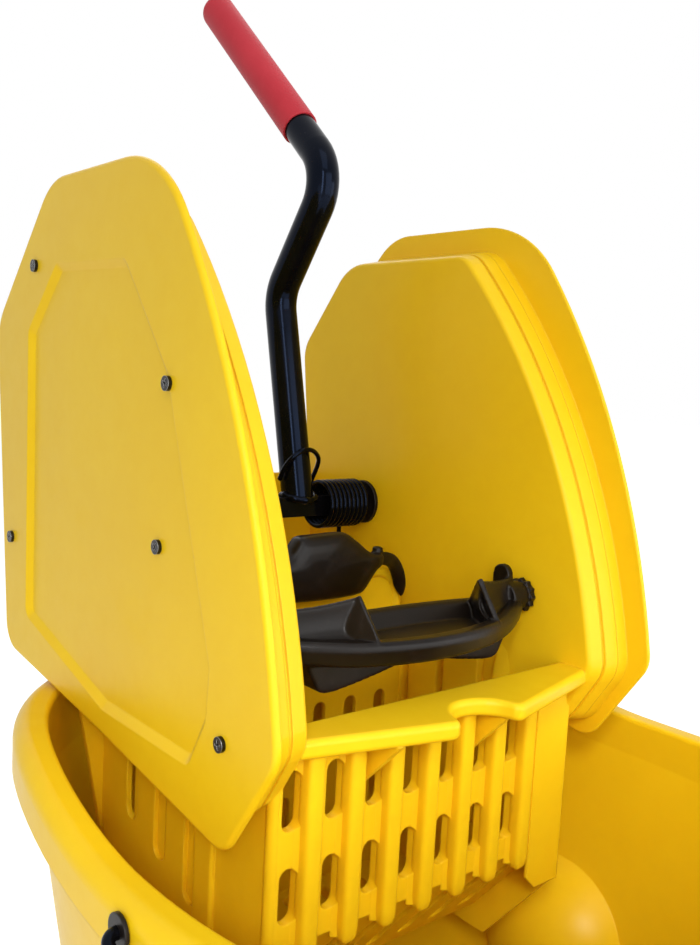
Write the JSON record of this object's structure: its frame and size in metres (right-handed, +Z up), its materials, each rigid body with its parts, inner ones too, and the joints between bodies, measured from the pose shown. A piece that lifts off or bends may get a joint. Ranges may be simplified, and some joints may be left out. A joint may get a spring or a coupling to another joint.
{
  "type": "mop bucket with wringer",
  "caption": "Oval yellow mop bucket on swivel casters with a down-press wringer hung on its rear rim, worked by a bent handle with a red grip.",
  "frame": {"origin": "on the floor, under the middle of the whole object's width and length", "axes": "+Z up, +Y towards the back where the wringer's handle stands, +X to the right seen from the front"},
  "size_m": [0.4598, 0.6344, 0.9523],
  "materials": {
    "yellow_plastic": "semi-gloss moulded, light texture",
    "black_plastic": "matt moulded",
    "black_paint": "gloss paint on steel",
    "red_vinyl": "dipped vinyl, satin",
    "dark_zinc": "dark zinc",
    "zinc_steel": "zinc plated",
    "grey_tyre": "matt, non-marking"
  },
  "bodies": {
    "bucket": {"bucket_shell": "yellow_plastic", "caster_sleeves": "zinc_steel", "bail_bushes": "black_plastic"},
    "bail": {"bail_wire": "black_paint", "bail_collars": "black_paint", "bail_grip": "black_plastic"},
    "wringer": {"wringer_body": "yellow_plastic", "cover_left": "yellow_plastic", "cover_right": "yellow_plastic", "cover_screws_left": "dark_zinc", "cover_screws_right": "dark_zinc", "back_pad": "black_plastic"},
    "handle": {"cross_shaft": "black_paint", "handle_tube": "black_paint", "handle_grip": "red_vinyl", "shaft_sleeve_left": "black_plastic", "shaft_sleeve_right": "black_plastic", "drive_crank_left": "zinc_steel", "drive_crank_right": "zinc_steel", "drive_pin_left": "zinc_steel", "drive_pin_right": "zinc_steel", "torsion_spring": "black_paint"},
    "press": {"press_plate": "black_plastic", "press_axle_left": "black_plastic", "press_axle_right": "black_plastic", "press_crank_left": "zinc_steel", "press_crank_right": "zinc_steel", "press_pin_left": "zinc_steel", "press_pin_right": "zinc_steel"},
    "link_left": {"link_left": "zinc_steel"},
    "link_right": {"link_right": "zinc_steel"},
    "swivel_front_left": {"caster_fork_front_left": "zinc_steel", "caster_stem_front_left": "zinc_steel", "caster_axle_front_left": "zinc_steel"},
    "wheel_front_left": {"caster_tyre_front_left": "grey_tyre", "caster_hub_front_left": "black_plastic"},
    "swivel_front_right": {"caster_fork_front_right": "zinc_steel", "caster_stem_front_right": "zinc_steel", "caster_axle_front_right": "zinc_steel"},
    "wheel_front_right": {"caster_tyre_front_right": "grey_tyre", "caster_hub_front_right": "black_plastic"},
    "swivel_rear_left": {"caster_fork_rear_left": "zinc_steel", "caster_stem_rear_left": "zinc_steel", "caster_axle_rear_left": "zinc_steel"},
    "wheel_rear_left": {"caster_tyre_rear_left": "grey_tyre", "caster_hub_rear_left": "black_plastic"},
    "swivel_rear_right": {"caster_fork_rear_right": "zinc_steel", "caster_stem_rear_right": "zinc_steel", "caster_axle_rear_right": "zinc_steel"},
    "wheel_rear_right": {"caster_tyre_rear_right": "grey_tyre", "caster_hub_rear_right": "black_plastic"}
  },
  "joints": [
    {"name": "bail_hinge", "type": "hinge", "parent": "bucket", "child": "bail", "pos_m": [0, -0.07725, 0.378], "axis": [-1, 0, 0], "range_deg": [0, 116]},
    {"name": "wringer_lift", "type": "slide", "parent": "bucket", "child": "wringer", "axis": [0, 0, 1], "range_m": [0, 0.3]},
    {"name": "handle_pull", "type": "hinge", "parent": "wringer", "child": "handle", "pos_m": [0, 0.16025, 0.527], "axis": [1, 0, 0], "range_deg": [0, 75], "stiffness_Nm_per_rad": 2.2, "springref_deg": -25.78, "deforming": ["torsion_spring"]},
    {"name": "press_turn", "type": "hinge", "parent": "wringer", "child": "press", "pos_m": [0, -0.01825, 0.485], "axis": [1, 0, 0], "range_deg": [0, 75]},
    {"name": "link_left_swing", "type": "hinge", "parent": "handle", "child": "link_left", "pos_m": [-0.13, 0.14486, 0.48471], "axis": [1, 0, 0], "range_deg": [-75, 0]},
    {"name": "link_right_swing", "type": "hinge", "parent": "handle", "child": "link_right", "pos_m": [0.13, 0.14486, 0.48471], "axis": [1, 0, 0], "range_deg": [-75, 0]},
    {"name": "swivel_front_left_turn", "type": "hinge", "parent": "bucket", "child": "swivel_front_left", "pos_m": [-0.122, -0.20725, 0.09], "axis": [0, 0, 1], "continuous": true},
    {"name": "wheel_front_left_roll", "type": "hinge", "parent": "swivel_front_left", "child": "wheel_front_left", "pos_m": [-0.122, -0.18325, 0.038], "axis": [1, 0, 0], "continuous": true},
    {"name": "swivel_front_right_turn", "type": "hinge", "parent": "bucket", "child": "swivel_front_right", "pos_m": [0.122, -0.20725, 0.09], "axis": [0, 0, 1], "continuous": true},
    {"name": "wheel_front_right_roll", "type": "hinge", "parent": "swivel_front_right", "child": "wheel_front_right", "pos_m": [0.122, -0.18325, 0.038], "axis": [1, 0, 0], "continuous": true},
    {"name": "swivel_rear_left_turn", "type": "hinge", "parent": "bucket", "child": "swivel_rear_left", "pos_m": [-0.122, 0.12275, 0.09], "axis": [0, 0, 1], "continuous": true},
    {"name": "wheel_rear_left_roll", "type": "hinge", "parent": "swivel_rear_left", "child": "wheel_rear_left", "pos_m": [-0.122, 0.14675, 0.038], "axis": [1, 0, 0], "continuous": true},
    {"name": "swivel_rear_right_turn", "type": "hinge", "parent": "bucket", "child": "swivel_rear_right", "pos_m": [0.122, 0.12275, 0.09], "axis": [0, 0, 1], "continuous": true},
    {"name": "wheel_rear_right_roll", "type": "hinge", "parent": "swivel_rear_right", "child": "wheel_rear_right", "pos_m": [0.122, 0.14675, 0.038], "axis": [1, 0, 0], "continuous": true}
  ],
  "couplings": [
    {"joint": "press_turn", "follows": "handle_pull", "ratio": 1},
    {"joint": "link_left_swing", "follows": "handle_pull", "ratio": -1},
    {"joint": "link_right_swing", "follows": "handle_pull", "ratio": -1}
  ]
}
